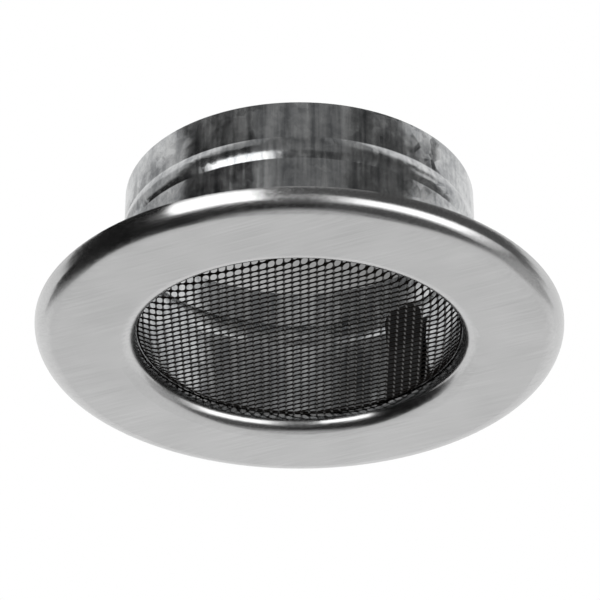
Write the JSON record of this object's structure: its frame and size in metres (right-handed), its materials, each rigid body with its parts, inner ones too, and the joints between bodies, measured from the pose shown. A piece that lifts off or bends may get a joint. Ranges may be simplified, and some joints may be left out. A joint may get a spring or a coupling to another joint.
{
  "type": "round air outlet vent",
  "caption": "Round air outlet with a brushed flat ring, a recessed black mesh dish, spring clips and a beaded collar for a round duct.",
  "frame": {"origin": "centre of the front face, on the plane of its flat ring", "axes": "+Z along the duct axis from the front face to the spigot's open end; +X to the right and +Y away from the viewer in the picture"},
  "size_m": [0.18, 0.18, 0.0606],
  "materials": {
    "brushed_stainless": "fine straight-grain brushed stainless sheet",
    "galvanised_sheet": "bright hot-dip zinc with rolling streaks and small spangle",
    "black_coated_mesh": "satin black powder coat on expanded steel",
    "black_spring_strip": "satin black coat on spring strip"
  },
  "bodies": {
    "collar": {"collar": "galvanised_sheet"},
    "front": {"front_ring": "brushed_stainless", "mesh_screen": "black_coated_mesh", "spring_clip_right": "black_spring_strip", "spring_clip_left": "black_spring_strip"}
  },
  "joints": [
    {"name": "front_pull_out", "type": "slide", "parent": "collar", "child": "front", "axis": [0, 0, -1], "range_m": [0, 0.05]}
  ]
}
